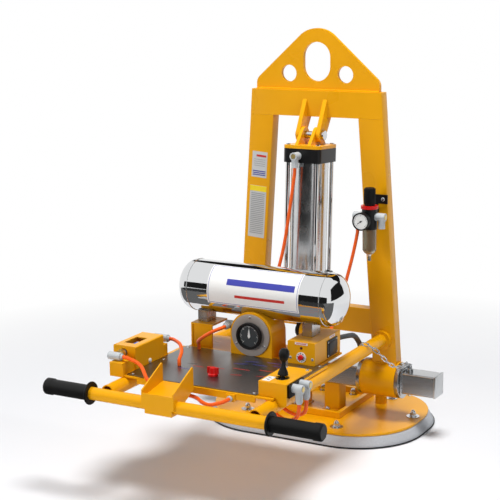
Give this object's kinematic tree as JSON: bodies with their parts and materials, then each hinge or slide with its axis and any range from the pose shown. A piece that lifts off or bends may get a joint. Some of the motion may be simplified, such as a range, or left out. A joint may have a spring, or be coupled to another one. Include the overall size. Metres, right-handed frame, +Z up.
{
  "type": "vacuum lifter",
  "caption": "Hoist-hung vacuum lifter for stone: A-shaped frame, operator's handlebar frame with valves and gauge, air tank, and a rounded suction pad that a pneumatic cylinder tilts.",
  "frame": {"origin": "centre of the bounding box in plan, at the underside of the pad's seal", "axes": "+X to the operator's right along the beam, +Y away from the operator's handlebar, +Z up to the lifting plate"},
  "size_m": [0.647, 0.8634, 0.9336],
  "materials": {
    "yellow_paint": "semi-gloss paint",
    "bare_steel": "bare steel",
    "chrome": "polished",
    "brushed_panel": "printed sheet",
    "black_metal": "black paint",
    "grip_rubber": "moulded rubber",
    "seal_rubber": "foam rubber",
    "grey_fitting": "moulded plastic",
    "orange_hose": "polyurethane hose",
    "black_hose": "rubber hose",
    "red_plastic": "moulded plastic",
    "blue_sleeve": "anodised",
    "smoked_bowl": "clear moulding"
  },
  "bodies": {
    "hanger": {"lifting_plate": "yellow_paint", "top_crossbar": "yellow_paint", "left_leg": "yellow_paint", "right_leg": "yellow_paint", "lower_crossbar": "yellow_paint", "clevis_pin": "bare_steel", "left_sleeve": "yellow_paint", "right_sleeve": "yellow_paint", "left_arm": "yellow_paint", "right_arm": "yellow_paint", "handlebar": "yellow_paint", "left_grip": "grip_rubber", "right_grip": "grip_rubber", "pendant_holder": "yellow_paint", "panel_tray": "yellow_paint", "panel_plate": "brushed_panel", "valve_guard": "yellow_paint", "slide_valve": "grey_fitting", "lever_bracket": "yellow_paint", "lever_valve": "black_metal", "gauge_housing": "yellow_paint", "vacuum_gauge": "black_metal", "control_box": "yellow_paint", "air_tank": "chrome", "left_tank_foot": "grey_fitting", "right_tank_foot": "grey_fitting", "tank_stand": "yellow_paint", "regulator_body": "black_metal", "regulator_bowl": "smoked_bowl", "regulator_hose": "orange_hose", "slide_front_hose": "orange_hose", "slide_rear_hose": "orange_hose", "lever_hose_front": "orange_hose", "lever_hose_back": "orange_hose", "gauge_hose": "orange_hose", "cylinder_hose": "orange_hose", "vacuum_hose": "black_hose", "pin_chain": "bare_steel"},
    "cylinder": {"cylinder_clevis": "yellow_paint", "head_cap": "black_metal", "cylinder_tube": "chrome", "foot_cap": "black_metal"},
    "rod": {"piston_rod": "chrome", "rod_fork": "black_metal"},
    "rotor": {"beam": "bare_steel", "left_journal": "bare_steel", "right_journal": "bare_steel", "crank_lug": "yellow_paint", "rib_frame": "yellow_paint", "left_post": "yellow_paint", "right_post": "yellow_paint", "pad_plate": "yellow_paint", "pad_seal": "seal_rubber"},
    "beam_pin": {"hitch_pin": "chrome"},
    "hand_lever": {"lever_handle": "grip_rubber"},
    "hand_slide": {"slide_sleeve": "blue_sleeve"},
    "release": {"release_knob": "red_plastic"},
    "alarm": {"alarm_button": "red_plastic"},
    "pressure": {"regulator_knob": "grip_rubber"},
    "needle": {"gauge_needle": "brushed_panel"}
  },
  "joints": [
    {"name": "pad_tilt", "type": "hinge", "parent": "hanger", "child": "rotor", "pos_m": [0, 0.22985, 0.1243], "axis": [1, 0, 0], "range_deg": [0, 90], "deforming": ["vacuum_hose"]},
    {"name": "cylinder_swing", "type": "hinge", "parent": "hanger", "child": "cylinder", "pos_m": [0, 0.19185, 0.6933], "axis": [1, 0, 0], "range_deg": [-3.16, 0.05], "deforming": ["cylinder_hose"]},
    {"name": "rod_slide", "type": "slide", "parent": "cylinder", "child": "rod", "axis": [0, -0.0591, -0.9983], "range_m": [0, 0.1791]},
    {"name": "pin_pull", "type": "slide", "parent": "rotor", "child": "beam_pin", "axis": [0, 0, 1], "range_m": [0, 0.07]},
    {"name": "lever_swing", "type": "hinge", "parent": "hanger", "child": "hand_lever", "pos_m": [0.178, -0.29515, 0.2633], "axis": [1, 0, 0], "range_deg": [-15, 15], "stiffness_Nm_per_rad": 0.5},
    {"name": "sleeve_slide", "type": "slide", "parent": "hanger", "child": "hand_slide", "axis": [0, 1, 0], "range_m": [0, 0.01]},
    {"name": "release_turn", "type": "hinge", "parent": "hanger", "child": "release", "pos_m": [0, -0.26615, 0.2443], "axis": [0, 0, 1], "range_deg": [0, 90]},
    {"name": "alarm_press", "type": "slide", "parent": "hanger", "child": "alarm", "axis": [0, 1, 0], "range_m": [0, 0.003], "stiffness_N_per_m": 300},
    {"name": "pressure_turn", "type": "hinge", "parent": "hanger", "child": "pressure", "pos_m": [0.16, 0.16685, 0.5443], "axis": [0, 0, 1], "continuous": true},
    {"name": "needle_turn", "type": "hinge", "parent": "hanger", "child": "needle", "pos_m": [0, -0.11465, 0.2893], "axis": [0, 1, 0], "range_deg": [-135, 135]}
  ],
  "couplings": [
    {"joint": "cylinder_swing", "follows": "pad_tilt", "ratio": -0.034508},
    {"joint": "rod_slide", "follows": "pad_tilt", "m_per_rad": 0.11371}
  ]
}
